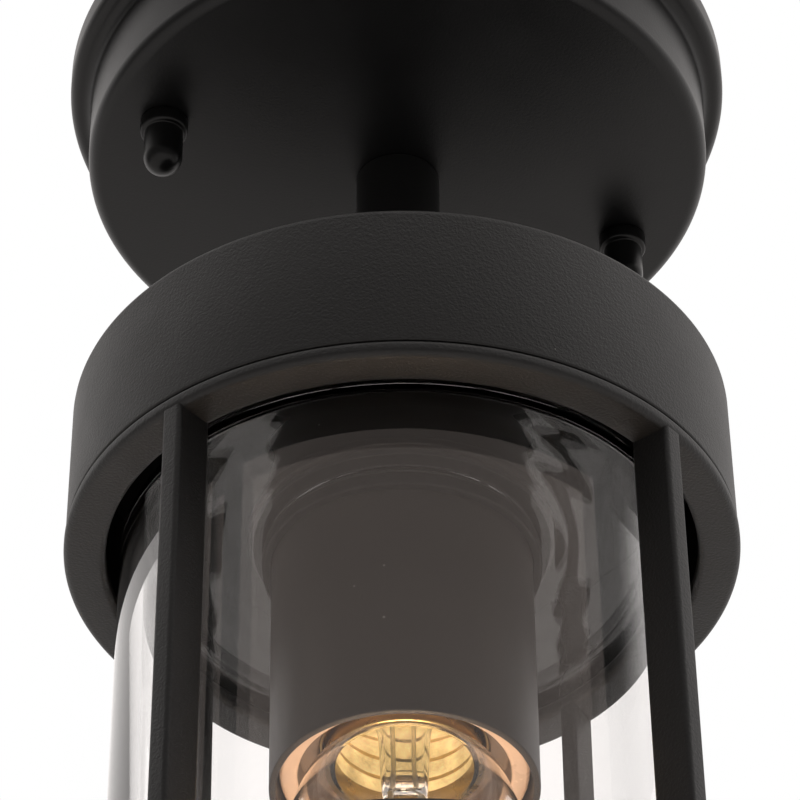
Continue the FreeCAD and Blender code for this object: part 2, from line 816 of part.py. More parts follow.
def nodes():
    """Every piece of the lantern by its node name."""
    pieces = {
        "crossbar": crossbar(),
        "canopy_studs": canopy_studs(),
        "stud_lock_nuts": stud_lock_nuts(),
        "ground_screw": ground_screw(),
        "canopy": canopy(),
        "canopy_gasket": canopy_gasket(),
        "cap_nut_left": cap_nut(-stud_spacing / 2.0),
        "cap_nut_right": cap_nut(stud_spacing / 2.0),
        "stem_tube": stem_tube(),
        "threaded_pipe": threaded_pipe(),
        "upper_washer": upper_washer(),
        "upper_nut": pipe_nut(canopy_floor_z + canopy_sheet + washer_thick),
        "lower_washer": lower_washer(),
        "lower_nut": pipe_nut(lower_nut_z),
        "drum": drum(),
        "frame_top_ring": frame_top_ring(),
        "frame_middle_arcs": frame_middle_arcs(),
        "frame_bottom_ring": frame_bottom_ring(),
        "frame_posts": frame_posts(),
        "cage_screws": cage_screws(),
        "glass": glass(),
        "upper_gasket": upper_gasket(),
        "lower_gasket": lower_gasket(),
        "retaining_ring": retaining_ring(),
        "socket_sleeve": socket_sleeve(),
        "holder_bushing": holder_bushing(),
        "holder_screws": holder_screws(),
        "lamp_holder": lamp_holder(),
        "holder_shell": holder_shell(),
        "holder_contact": holder_contact(),
        "bulb_cap": bulb_cap(),
        "bulb_insulator": bulb_insulator(),
        "bulb_contact": bulb_contact(),
        "bulb_envelope": bulb_envelope(),
        "bulb_stem": bulb_stem(),
        "bulb_filaments": bulb_filaments(),
        "bulb_wires": bulb_wires(),
    }
    for number, angle in enumerate(bar_angles(), start=1):
        pieces[f"frame_bar_{number}"] = frame_bar(angle)
    return pieces


os.makedirs("parts", exist_ok=True)
for name, shape in nodes().items():
    shape.exportStep(f"parts/{name}.step")
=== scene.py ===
import math

import bpy
import numpy as np
from bpy.props import FloatProperty, FloatVectorProperty, PointerProperty
from mathutils import Matrix, Vector


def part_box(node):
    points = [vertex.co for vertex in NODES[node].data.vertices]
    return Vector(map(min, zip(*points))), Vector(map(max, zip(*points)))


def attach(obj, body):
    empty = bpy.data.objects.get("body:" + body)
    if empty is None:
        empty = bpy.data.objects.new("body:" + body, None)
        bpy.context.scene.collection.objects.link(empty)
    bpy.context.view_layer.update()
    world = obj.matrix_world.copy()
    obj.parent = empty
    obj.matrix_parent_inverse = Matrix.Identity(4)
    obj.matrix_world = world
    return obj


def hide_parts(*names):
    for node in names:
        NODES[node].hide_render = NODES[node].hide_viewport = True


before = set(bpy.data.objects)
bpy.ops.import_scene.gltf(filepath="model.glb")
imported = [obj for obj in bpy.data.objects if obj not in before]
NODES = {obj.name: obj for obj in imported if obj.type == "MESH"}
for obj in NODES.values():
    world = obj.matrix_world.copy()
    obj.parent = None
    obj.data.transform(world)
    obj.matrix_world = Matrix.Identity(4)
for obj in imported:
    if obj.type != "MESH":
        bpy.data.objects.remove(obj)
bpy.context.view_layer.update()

bl_info = {
    "name": "Porch ceiling lantern",
    "version": (1, 0, 0),
    "blender": (4, 5, 0),
    "location": "3D View > Sidebar > Lantern",
    "description": "Dresses the lantern's frame: canopy, drum, cage, glass, lamp holder and bulb",
    "category": "Object",
}

MM = 0.001
LANTERN = "lantern"

# Radii and thicknesses in millimetres
SHEET = 1.2
PIPE_HOLE = 5.3
STUD_HOLE = 2.7
GLASS_HOLE = 22.3
GLASS_WALL = 3.0
GLASS_CORNER = 4.5
DRUM_WALL = 2.0
RING_WIDTH = 7.0
BAR_THICK = 3.8
BAR_COUNT = 4
BAR_TURN = 28.7
CREASE = 32
PRESS_DROP = 14.0
RETAINER_BORE = 22.05
HOLDER_BORE = 13.85

# Optics and the stage
GLASS_INDEX = 1.5
BACKDROP_WAY = Vector((0.42, 0.66, 0.62)).normalized()
VIEWER_WAY = Vector((-0.3666, -0.9304, 0.0))
BACKDROP_EDGE = (-0.15, 0.45)
SHINE_EDGE = (0.3, 0.45)
WALL_EDGE = (0.0, 0.1)
BEYOND_EDGE = (-0.15, -0.35)
GROUND_EDGE = (-0.5, -0.42)
WARM_WALL = (1.0, 0.86, 0.79)
WARM_WHITE = (1.0, 0.96, 0.94)
BULB_LIGHT = (1.0, 0.72, 0.48)
VIEW_PLACE = Vector((-0.1712, -0.4345, -0.4540))
VIEW_AHEAD = Vector((0.2840, 0.7210, 0.6320)).normalized()
VIEW_RIGHT = Vector((0.9304, -0.3665, 0.0))
VIEW_ROLL = math.radians(-0.67)
VIEW_FOCUS = 3500.0
VIEW_WIDTH = 800.0
SENSOR = 36.0


# ---------------------------------------------------------------- outlines


def bottom(node):
    """Lowest height of a CAD node, in millimetres."""
    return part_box(node)[0].z / MM


def top(node):
    """Highest height of a CAD node, in millimetres."""
    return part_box(node)[1].z / MM


def reach(node):
    """Outer radius of a round CAD node about its own centre, in millimetres."""
    low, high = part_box(node)
    return (high.x - low.x) / 2 / MM


def arc(centre, radius, start, end, steps=12):
    """Points on a circle: centre plus radius times (cos a, sin a), for a from start to end in degrees."""
    a = np.radians(np.linspace(start, end, steps + 1))
    return np.column_stack((centre[0] + radius * np.cos(a), centre[1] + radius * np.sin(a)))


def rounded(corners, steps=7):
    """Closed outline whose corners (r, z, radius) are rounded.

    The arc's centre lies on the corner's bisector, radius / sin(half the angle) from the corner, so it
    touches both sides at radius / tan(half the angle).
    """
    corners = np.asarray(corners, float)
    place, radius = corners[:, :2], corners[:, 2]
    pieces = []
    for n, here in enumerate(place):
        if radius[n] <= 0:
            pieces.append(here[None])
            continue
        back = place[n - 1] - here
        ahead = place[(n + 1) % len(place)] - here
        back = back / np.linalg.norm(back)
        ahead = ahead / np.linalg.norm(ahead)
        half = math.acos(np.clip(back @ ahead, -1, 1)) / 2
        middle = (back + ahead) / np.linalg.norm(back + ahead)
        centre = here + middle * radius[n] / math.sin(half)
        first = here + back * radius[n] / math.tan(half) - centre
        last = here + ahead * radius[n] / math.tan(half) - centre
        low = math.degrees(math.atan2(first[1], first[0]))
        turn = math.degrees(math.atan2(last[1], last[0])) - low
        turn = (turn + 180) % 360 - 180
        pieces.append(arc(centre, radius[n], low, low + turn, steps))
    return np.vstack(pieces)


def smooth_through(points, steps=12):
    """Curve through points. Each span is a cubic whose end slopes are half its neighbours' step."""
    points = np.asarray(points, float)
    ends = np.vstack((2 * points[0] - points[1], points, 2 * points[-1] - points[-2]))
    u = np.linspace(0, 1, steps, endpoint=False)[:, None]
    spans = []
    for n in range(1, len(ends) - 2):
        a, b, c, d = ends[n - 1 : n + 3]
        spans.append(
            0.5 * (2 * b + (c - a) * u + (2 * a - 5 * b + 4 * c - d) * u**2 + (3 * b - a - 3 * c + d) * u**3)
        )
    return np.vstack(spans + [points[-1:]])


# ---------------------------------------------------------------- surfaces


def linked(name, data):
    """New object in the scene for a mesh, a lamp or a camera."""
    made = bpy.data.objects.new(name, data)
    bpy.context.scene.collection.objects.link(made)
    return made


def smoothed(mesh, crease=CREASE):
    """Smooth shading, with sharp edges where faces meet at more than the crease, in degrees."""
    mesh.shade_smooth()
    mesh.set_sharp_from_angle(angle=math.radians(crease))


def new_mesh(name, points, faces, crease=CREASE):
    """Object with a smooth-shaded mesh of points in metres and lists of corners."""
    mesh = bpy.data.meshes.new(name)
    mesh.from_pydata(points.tolist(), [], faces)
    mesh.update()
    smoothed(mesh, crease)
    return linked(name, mesh)


def solid(name, points, faces, crease=CREASE):
    """Mesh object from points in millimetres and face arrays.

    The sum of a . (b x c) over the triangles is six times the volume. Where it is negative, the faces
    point inwards and are reversed.
    """
    points = np.asarray(points, float) * MM
    volume = 0.0
    for face in faces:
        for k in range(1, face.shape[1] - 1):
            a, b, c = points[face[:, 0]], points[face[:, k]], points[face[:, k + 1]]
            volume += np.einsum("ij,ij->", a, np.cross(b, c))
    if volume < 0:
        faces = [face[:, ::-1] for face in faces]
    return new_mesh(name, points, [row for face in faces for row in face.tolist()], crease)


def grid_faces(turns, rows, wrap_turns, wrap_rows):
    """Four-sided faces of a grid of turns by rows, closed where it wraps."""
    i = np.arange(turns if wrap_turns else turns - 1)[:, None]
    j = np.arange(rows if wrap_rows else rows - 1)[None, :]
    right, above = (i + 1) % turns, (j + 1) % rows
    corners = (i * rows + j, right * rows + j, right * rows + above, i * rows + above)
    return np.stack(np.broadcast_arrays(*corners), -1).reshape(-1, 4)


def turned(name, outline, centre=(0.0, 0.0), steps=224, poles=False, crease=CREASE, swell=None):
    """Surface of revolution: outline point (r, z) at angle t goes to (x + r cos t, y + r sin t, z).

    A closed outline gives a ring. With poles, the outline is open, its two ends lie on the axis, and
    each becomes one vertex. swell(t, z) is added to r, as for a screw thread.
    """
    outline = np.asarray(outline, float)
    body = outline[1:-1] if poles else outline
    t = np.linspace(0, 2 * np.pi, steps, endpoint=False)[:, None]
    z = np.broadcast_to(body[:, 1], (steps, len(body)))
    r = body[:, 0] + (swell(t, z) if swell else 0.0)
    x = centre[0] + r * np.cos(t)
    y = centre[1] + r * np.sin(t)
    points = np.stack(np.broadcast_arrays(x, y, z), -1).reshape(-1, 3)
    rows = len(body)
    faces = [grid_faces(steps, rows, True, not poles)]
    if poles:
        count = len(points)
        tips = [(centre[0], centre[1], outline[k, 1]) for k in (0, -1)]
        points = np.vstack((points, tips))
        here = np.arange(steps) * rows
        ahead = (np.arange(steps) + 1) % steps * rows
        faces.append(np.column_stack((np.full(steps, count), ahead, here)))
        faces.append(np.column_stack((np.full(steps, count + 1), here + rows - 1, ahead + rows - 1)))
    return solid(name, points, faces, crease)


def carried(name, outline, path, across, along_up, crease=CREASE):
    """Closed outline carried along a path, with flat ends.

    Outline point (u, v) at path point p goes to p + u * across + v * along_up, where across and
    along_up are the section's two directions at that path point.
    """
    outline = np.asarray(outline, float)
    path, across, along_up = (np.asarray(a, float)[:, None, :] for a in (path, across, along_up))
    points = path + outline[None, :, :1] * across + outline[None, :, 1:] * along_up
    turns, rows = points.shape[:2]
    ends = [np.arange(rows)[None, ::-1], (turns - 1) * rows + np.arange(rows)[None, :]]
    faces = [grid_faces(turns, rows, False, True)] + ends
    return solid(name, points.reshape(-1, 3), faces, crease)


def tube(name, path, radius, sides=14, crease=40):
    """Round wire along a path: a circle in the plane square to the path's direction at each point."""
    path = np.asarray(path, float)
    ahead = np.gradient(path, axis=0)
    ahead /= np.linalg.norm(ahead, axis=1)[:, None]
    aside = np.cross(ahead, (0.31, 0.87, 0.12))
    aside /= np.linalg.norm(aside, axis=1)[:, None]
    other = np.cross(ahead, aside)
    circle = arc((0, 0), radius, 0, 360, sides)[:-1]
    return carried(name, circle, path, aside, other, crease)


def joined(name, parts):
    """One mesh from several, in their order."""
    points, faces, shift = [], [], 0
    for part in parts:
        mesh = part.data
        co = np.empty(len(mesh.vertices) * 3)
        mesh.vertices.foreach_get("co", co)
        points.append(co.reshape(-1, 3))
        corners, starts = np.empty(len(mesh.loops), int), np.empty(len(mesh.polygons), int)
        mesh.loops.foreach_get("vertex_index", corners)
        mesh.polygons.foreach_get("loop_start", starts)
        faces += [face.tolist() for face in np.split(corners + shift, starts[1:])]
        shift += len(mesh.vertices)
    made = new_mesh(name, np.vstack(points), faces)
    for part in parts:
        old = part.data
        bpy.data.objects.remove(part)
        bpy.data.meshes.remove(old)
    return made


def bored(obj, cutters):
    """Takes the cutters out of a mesh, and deletes them."""
    for cutter in cutters:
        step = obj.modifiers.new("bore", "BOOLEAN")
        step.operation = "DIFFERENCE"
        step.solver = "EXACT"
        step.object = cutter
    seen = bpy.context.evaluated_depsgraph_get()
    mesh = bpy.data.meshes.new_from_object(obj.evaluated_get(seen))
    obj.modifiers.clear()
    obj.data = mesh
    smoothed(mesh)
    for cutter in cutters:
        bpy.data.objects.remove(cutter)
    return obj


def place(obj, material, slot, nodes, body=LANTERN):
    """Gives a piece its material and body, and hides the CAD nodes that it stands for. The slot is not used.
    """
    obj.data.materials.clear()
    obj.data.materials.append(material)
    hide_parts(*nodes)
    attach(obj, body)
    return obj


def lined(obj, material, radius, height):
    """Second material on the faces within a radius of the axis and below a height, in millimetres."""
    obj.data.materials.append(material)
    for face in obj.data.polygons:
        inward = Vector((face.center.x, face.center.y)).length < radius * MM
        face.material_index = int(inward and face.center.z < height * MM)


def ring_outline(outer, inner, low, high, edge):
    """Outline of a flat ring whose four edges are rounded alike."""
    return rounded([(inner, low, edge), (outer, low, edge), (outer, high, edge), (inner, high, edge)])


# ---------------------------------------------------------------- shared effects


def new_group(name, inputs, outputs):
    """Empty node group with float inputs and outputs. Returns its tree, input node and output node."""
    tree = bpy.data.node_groups.new(name, "ShaderNodeTree")
    for label, value in inputs:
        made = tree.interface.new_socket(label, in_out="INPUT", socket_type="NodeSocketFloat")
        made.default_value = value
    for label in outputs:
        tree.interface.new_socket(label, in_out="OUTPUT", socket_type="NodeSocketFloat")
    return tree, tree.nodes.new("NodeGroupInput"), tree.nodes.new("NodeGroupOutput")


def add(tree, kind, settings=None, **sockets):
    """New node. settings are its properties. A socket gets a value, or a link from another node's socket."""
    node = tree.nodes.new(kind)
    for key, value in (settings or {}).items():
        setattr(node, key, value)
    for key, value in sockets.items():
        numbered = key[0] == "i" and key[1:].isdigit()
        socket = node.inputs[int(key[1:]) if numbered else key.replace("_", " ")]
        if isinstance(value, bpy.types.NodeSocket):
            tree.links.new(value, socket)
        else:
            socket.default_value = value
    return node


def maths(tree, operation, first, second):
    """Sum, product or other operation on two values."""
    return add(tree, "ShaderNodeMath", {"operation": operation}, i0=first, i1=second).outputs[0]


def grain_group():
    """Orange-peel grain of a sprayed coat: fine noise over broad noise, in object space."""
    tree, given, out = new_group(
        "Coat grain", [("Grain per metre", 2000.0), ("Cloud per metre", 60.0)], ["Height", "Tone"]
    )
    space = add(tree, "ShaderNodeTexCoord").outputs["Object"]
    fine = add(
        tree,
        "ShaderNodeTexNoise",
        Vector=space,
        Scale=given.outputs[0],
        Detail=3.0,
        Roughness=0.55,
        Distortion=0.25,
    )
    cloud = add(tree, "ShaderNodeTexNoise", Vector=space, Scale=given.outputs[1], Detail=4.0, Roughness=0.6)
    shaped = add(tree, "ShaderNodeMapRange", Value=fine.outputs["Fac"], From_Min=0.32, From_Max=0.7)
    tone = add(tree, "ShaderNodeMapRange", Value=cloud.outputs["Fac"], From_Min=0.3, From_Max=0.7)
    tree.links.new(shaped.outputs["Result"], out.inputs[0])
    tree.links.new(tone.outputs["Result"], out.inputs[1])
    return tree


def dust_group():
    """Sparse specks of dust: a speck where a random few of the cells' centres are near."""
    tree, given, out = new_group(
        "Dust", [("Specks per metre", 260.0), ("Share", 0.12), ("Speck size", 0.06)], ["Mask"]
    )
    space = add(tree, "ShaderNodeTexCoord").outputs["Object"]
    cells = add(tree, "ShaderNodeTexVoronoi", Vector=space, Scale=given.outputs[0])
    parts = add(tree, "ShaderNodeSeparateColor", Color=cells.outputs["Color"])
    few = maths(tree, "LESS_THAN", parts.outputs[0], given.outputs[1])
    size = maths(tree, "MULTIPLY", parts.outputs[1], given.outputs[2])
    near = maths(tree, "LESS_THAN", cells.outputs["Distance"], size)
    tree.links.new(maths(tree, "MULTIPLY", few, near), out.inputs[0])
    return tree


def brush_group():
    """Fine drawn lines round the axis: noise stretched in the plane, with broad dull patches."""
    tree, given, out = new_group("Drawn lines", [("Lines per metre", 4000.0)], ["Height", "Tone"])
    space = add(tree, "ShaderNodeTexCoord").outputs["Object"]
    squeezed = add(tree, "ShaderNodeMapping", Vector=space, Scale=(0.04, 0.04, 1.0))
    space_in, scale = squeezed.outputs[0], given.outputs[0]
    lines = add(tree, "ShaderNodeTexNoise", Vector=space_in, Scale=scale, Detail=2.0, Roughness=0.5)
    cloud = add(tree, "ShaderNodeTexNoise", Vector=space, Scale=180.0, Detail=3.0, Roughness=0.6)
    tree.links.new(lines.outputs["Fac"], out.inputs[0])
    tree.links.new(cloud.outputs["Fac"], out.inputs[1])
    return tree


EFFECTS = {}


def effect(tree, name, **sockets):
    """A shared effect placed in a material. It is built the first time that it is asked for."""
    makers = {"Coat grain": grain_group, "Dust": dust_group, "Drawn lines": brush_group}
    if name not in EFFECTS:
        EFFECTS[name] = makers[name]()
    node = tree.nodes.new("ShaderNodeGroup")
    node.node_tree = EFFECTS[name]
    for key, value in sockets.items():
        node.inputs[key.replace("_", " ")].default_value = value
    return node


# ---------------------------------------------------------------- materials


def new_material(name):
    """Material with a Principled BSDF. Returns the material, its tree and the shader node."""
    material = bpy.data.materials.new(name)
    material.use_nodes = True
    tree = material.node_tree
    return material, tree, tree.nodes["Principled BSDF"]


def mixed(tree, factor, first, second):
    """Colour between two others by a factor from 0 to 1."""
    link = bpy.types.NodeSocket
    first, second = (c if isinstance(c, link) else (*c, 1.0) for c in (first, second))
    return add(tree, "ShaderNodeMix", {"data_type": "RGBA"}, i0=factor, i6=first, i7=second).outputs[2]


def spread(tree, value, low, high):
    """Number from low to high as value goes from 0 to 1."""
    return add(tree, "ShaderNodeMapRange", Value=value, To_Min=low, To_Max=high).outputs["Result"]


def bumped(tree, shader, height, depth):
    """Height in metres times depth, as a bump on the shader's normal."""
    node = add(tree, "ShaderNodeBump", Height=height, Distance=depth, Strength=1.0)
    tree.links.new(node.outputs[0], shader.inputs["Normal"])


def coat(name, colour, rough=0.5, grain=2000.0, depth=0.00004, dust=0.1, specular=0.5):
    """Sprayed and baked coat: a dark colour with faint clouds, orange-peel grain and a few dust specks."""
    material, tree, shader = new_material(name)
    peel = effect(tree, "Coat grain", Grain_per_metre=grain)
    specks = effect(tree, "Dust", Share=dust)
    dark = tuple(0.86 * c for c in colour)
    light = tuple(1.16 * c for c in colour)
    ground = mixed(tree, peel.outputs["Tone"], dark, light)
    dusty = mixed(tree, specks.outputs["Mask"], ground, (0.16, 0.15, 0.14))
    tree.links.new(dusty, shader.inputs["Base Color"])
    tree.links.new(spread(tree, peel.outputs["Tone"], rough - 0.03, rough + 0.03), shader.inputs["Roughness"])
    shader.inputs["Specular IOR Level"].default_value = specular
    bumped(tree, shader, peel.outputs["Height"], depth)
    return material


def metal(name, colour, rough=0.28, lines=4000.0, depth=0.000004, dull=0.12):
    """Bare metal with fine drawn lines and duller clouds."""
    material, tree, shader = new_material(name)
    drawn = effect(tree, "Drawn lines", Lines_per_metre=lines)
    worn = tuple(0.78 * c for c in colour)
    tree.links.new(mixed(tree, drawn.outputs["Tone"], worn, colour), shader.inputs["Base Color"])
    tree.links.new(spread(tree, drawn.outputs["Tone"], rough, rough + dull), shader.inputs["Roughness"])
    shader.inputs["Metallic"].default_value = 1.0
    bumped(tree, shader, drawn.outputs["Height"], depth)
    return material


def clear(name, tint):
    """Clear glass."""
    material, tree, shader = new_material(name)
    shader.inputs["Base Color"].default_value = (*tint, 1.0)
    shader.inputs["Transmission Weight"].default_value = 1.0
    shader.inputs["Roughness"].default_value = 0.0
    shader.inputs["IOR"].default_value = GLASS_INDEX
    return material


def glowing_cap_lining(colour):
    """Cement and varnished metal inside the bulb's cap: mottled gold that also glows by emission, a painted
    glow standing in for the bulb's warm light on it.
    """
    material, tree, shader = new_material("cap lining painted glow")
    cloud = effect(tree, "Coat grain", Grain_per_metre=900.0, Cloud_per_metre=260.0)
    deep = tuple(0.62 * c for c in colour)
    pale = tuple(min(1.0, 1.15 * c + 0.06) for c in colour)
    gold = mixed(tree, cloud.outputs["Tone"], deep, pale)
    tree.links.new(gold, shader.inputs["Base Color"])
    # Painted glow: the gold is also the emission colour, so the lining shines though it is no lamp.
    tree.links.new(gold, shader.inputs["Emission Color"])
    shader.inputs["Emission Strength"].default_value = 0.9
    shader.inputs["Roughness"].default_value = 0.42
    bumped(tree, shader, cloud.outputs["Tone"], 0.0006)
    return material


def moulding(name, colour, rough=0.4, grain=900.0, depth=0.00001, coat_weight=0.0, dust=0.03):
    """Moulded or cast surface with a fine skin, such as phenolic, porcelain, rubber or foam."""
    material, tree, shader = new_material(name)
    skin = effect(tree, "Coat grain", Grain_per_metre=grain, Cloud_per_metre=110.0)
    specks = effect(tree, "Dust", Share=dust)
    shade = tuple(0.88 * c for c in colour)
    ground = mixed(tree, skin.outputs["Tone"], shade, colour)
    spot = tuple(0.6 * c for c in colour)
    tree.links.new(mixed(tree, specks.outputs["Mask"], ground, spot), shader.inputs["Base Color"])
    tree.links.new(spread(tree, skin.outputs["Tone"], rough - 0.04, rough + 0.06), shader.inputs["Roughness"])
    shader.inputs["Coat Weight"].default_value = coat_weight
    shader.inputs["Coat Roughness"].default_value = 0.08
    bumped(tree, shader, skin.outputs["Height"], depth)
    return material


# ---------------------------------------------------------------- settings


class LanternCoat(bpy.types.PropertyGroup):
    """Black coats of the canopy, frame, stem and sleeve."""

    frame_colour: FloatVectorProperty(
        name="Frame", description="Coat of the drum and cage", subtype="COLOR", size=3,
        default=(0.0065, 0.0061, 0.0058),
    )
    canopy_colour: FloatVectorProperty(
        name="Canopy", description="Coat of the canopy", subtype="COLOR", size=3,
        default=(0.003, 0.003, 0.0031),
    )
    stem_colour: FloatVectorProperty(
        name="Stem", description="Coat of the stem and cap nuts", subtype="COLOR", size=3,
        default=(0.0028, 0.0028, 0.0028),
    )
    sleeve_colour: FloatVectorProperty(
        name="Sleeve", description="Coat of the socket sleeve", subtype="COLOR", size=3,
        default=(0.019, 0.015, 0.0125),
    )
    grain: FloatProperty(
        name="Grain", description="Distance between the coat's grains", subtype="DISTANCE", unit="LENGTH",
        default=0.0005,
    )
    roughness: FloatProperty(
        name="Roughness", description="Roughness of the frame's coat", subtype="FACTOR", min=0, max=1,
        default=0.5,
    )


class LanternGlass(bpy.types.PropertyGroup):
    """Clear glass of the cylinder and the bulb."""

    tint: FloatVectorProperty(
        name="Glass", description="Colour of the glass cylinder", subtype="COLOR", size=3,
        default=(0.99, 0.99, 0.99),
    )
    bulb_tint: FloatVectorProperty(
        name="Bulb glass", description="Colour of the bulb's glass", subtype="COLOR", size=3,
        default=(1.0, 0.985, 0.96),
    )
    cap_colour: FloatVectorProperty(
        name="Bulb cap", description="Metal of the bulb's cap", subtype="COLOR", size=3,
        default=(0.84, 0.6, 0.24),
    )
    holder_colour: FloatVectorProperty(
        name="Lamp holder", description="Moulding of the lamp holder", subtype="COLOR", size=3,
        default=(0.78, 0.58, 0.44),
    )
    ripple: FloatProperty(
        name="Ripple", description="Height of the ripples inside the cylinder", subtype="DISTANCE",
        unit="LENGTH", default=0.00006,
    )
    ripple_step: FloatProperty(
        name="Ripple step", description="Distance between two ripples", subtype="DISTANCE", unit="LENGTH",
        default=0.0065,
    )


class LanternStage(bpy.types.PropertyGroup):
    """Floor and light."""

    floor_drop: FloatProperty(
        name="Floor", description="Drop from the ceiling to the floor", subtype="DISTANCE", unit="LENGTH",
        default=1.9,
    )
    floor_colour: FloatVectorProperty(
        name="Floor colour", description="Colour of the floor", subtype="COLOR", size=3,
        default=(0.88, 0.87, 0.86),
    )
    back_light: FloatProperty(
        name="Back light", description="Light of the surroundings behind the lantern", min=0, default=1.0
    )
    front_light: FloatProperty(
        name="Front light", description="Light of the surroundings on the viewer's side", min=0, default=0.06
    )
    wall_light: FloatProperty(
        name="Wall light", description="Light of the pale wall behind the viewer", min=0, default=0.5
    )
    through_light: FloatProperty(
        name="Seen through glass", description="Light of the backdrop seen through glass", min=0, default=1.18
    )
    wall_share: FloatProperty(
        name="Wall share", description="Share of the wall's light that falls on matt surfaces", min=0,
        max=1, default=0.3,
    )
    bulb_power: FloatProperty(
        name="Bulb", description="Power of the dimmed bulb", subtype="POWER", unit="POWER", min=0,
        default=0.045,
    )


# ---------------------------------------------------------------- pieces


class LANTERN_OT_canopy(bpy.types.Operator):
    """Makes the canopy: rim, cove, side wall and flat underside, spun from sheet"""

    bl_idname = "lantern.canopy"
    bl_label = "Canopy"

    def execute(self, context):
        coats = context.scene.lantern_coat
        low, high = bottom("canopy"), top("canopy")
        rim, sheet, ledge, bore = reach("canopy"), SHEET, high - 3.0, PIPE_HOLE
        wall = rim - 4.0
        outer = np.vstack(
            (
                [(rim - sheet, high)],
                [(rim, high)],
                arc((rim - 2, ledge), 2, 0, -90),
                arc((wall + 2, ledge - 4), 2, 90, 180),
                arc((wall - 2.5, low + 2.5), 2.5, 0, -90),
                [(bore, low), (bore, low + sheet)],
                arc((wall - 2.5, low + 2.5), 2.5 - sheet, -90, 0),
                arc((wall + 2, ledge - 4), 2 + sheet, 180, 90),
                arc((rim - 2, ledge), 2 - sheet, -90, 0),
            )
        )
        cup = turned("canopy_shell", outer, steps=288)
        half = (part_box("cap_nut_right")[0].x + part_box("cap_nut_right")[1].x) / 2 / MM
        cutters = []
        for side in (-1, 1):
            hole = np.array([(0, low - 2), (STUD_HOLE, low - 2), (STUD_HOLE, low + 4), (0, low + 4)])
            cutters.append(turned("stud_hole", hole, (side * half, 0), 48, poles=True))
        bored(cup, cutters)
        paint = coat("canopy coat", coats.canopy_colour, 0.36, 1 / coats.grain, 0.00001, 0.08, 0.34)
        place(cup, paint, "canopy_paint", ["canopy"])
        return {"FINISHED"}


class LANTERN_OT_cap_nuts(bpy.types.Operator):
    """Makes the two cap nuts: a collar, a barrel and a dome, bored for the stud"""

    bl_idname = "lantern.cap_nuts"
    bl_label = "Cap nuts"

    def execute(self, context):
        paint = coat("nut coat", context.scene.lantern_coat.stem_colour, 0.3, 1500.0, 0.000008, 0.05, 0.3)
        for node in ("cap_nut_left", "cap_nut_right"):
            low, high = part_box(node)
            x, z = (low.x + high.x) / 2 / MM, high.z / MM
            collar, barrel, bore = 4.25, 3.45, 2.45
            foot = z - 3.0
            dome = low.z / MM + barrel
            outline = np.vstack(
                (
                    [(0, z - 7.8), (bore, z - 7.8), (bore, z - 0.4), (bore + 0.4, z)],
                    arc((collar - 0.4, z - 0.4), 0.4, 90, 0, 4),
                    arc((collar - 0.6, foot + 0.6), 0.6, 0, -90, 5),
                    arc((barrel + 0.25, foot - 0.25), 0.25, 90, 180, 4),
                    arc((0, dome), barrel, 0, -90, 16),
                )
            )
            place(turned(node + "_form", outline, (x, 0), 96, poles=True), paint, "nut_paint", [node], node)
        return {"FINISHED"}


class LANTERN_OT_stem(bpy.types.Operator):
    """Makes the stem tube"""

    bl_idname = "lantern.stem"
    bl_label = "Stem"

    def execute(self, context):
        outer = reach("stem_tube")
        outline = ring_outline(outer, outer - 1.6, bottom("stem_tube"), top("stem_tube"), 0.3)
        paint = coat("stem coat", context.scene.lantern_coat.stem_colour, 0.45, 1800.0, 0.00001, 0.06)
        place(turned("stem_form", outline, steps=128), paint, "stem_paint", ["stem_tube"])
        return {"FINISHED"}


class LANTERN_OT_drum(bpy.types.Operator):
    """Makes the drum: a round cap, open below, with a rounded upper edge, and a darker, duller coat inside as
    painted shade
    """

    bl_idname = "lantern.drum"
    bl_label = "Drum"

    def execute(self, context):
        low, high = bottom("drum"), top("drum")
        radius, wall, bore = reach("drum"), DRUM_WALL, PIPE_HOLE
        outline = rounded(
            [
                (radius, low, 0.35),
                (radius, high, 1.6),
                (bore, high, 0),
                (bore, high - wall, 0),
                (radius - wall, high - wall, 0.4),
                (radius - wall, low, 0.2),
            ]
        )
        drum = turned("drum_form", outline, steps=320)
        place(drum, frame_coat(context), "frame_paint", ["drum"])
        # Painted shade: the inner wall and ceiling get a darker, duller coat, standing in for the shade
        # inside the drum.
        dull = coat("drum inside painted shade", context.scene.lantern_coat.stem_colour, 0.75, 1500.0, 0.00001, 0.04, 0.12)
        lined(drum, dull, radius - wall + 0.1, high - wall + 0.1)
        return {"FINISHED"}


def frame_coat(context):
    """The frame's coat, made once."""
    made = bpy.data.materials.get("frame coat")
    if made:
        return made
    coats = context.scene.lantern_coat
    return coat("frame coat", coats.frame_colour, coats.roughness, 1 / coats.grain, 0.00005, 0.1)


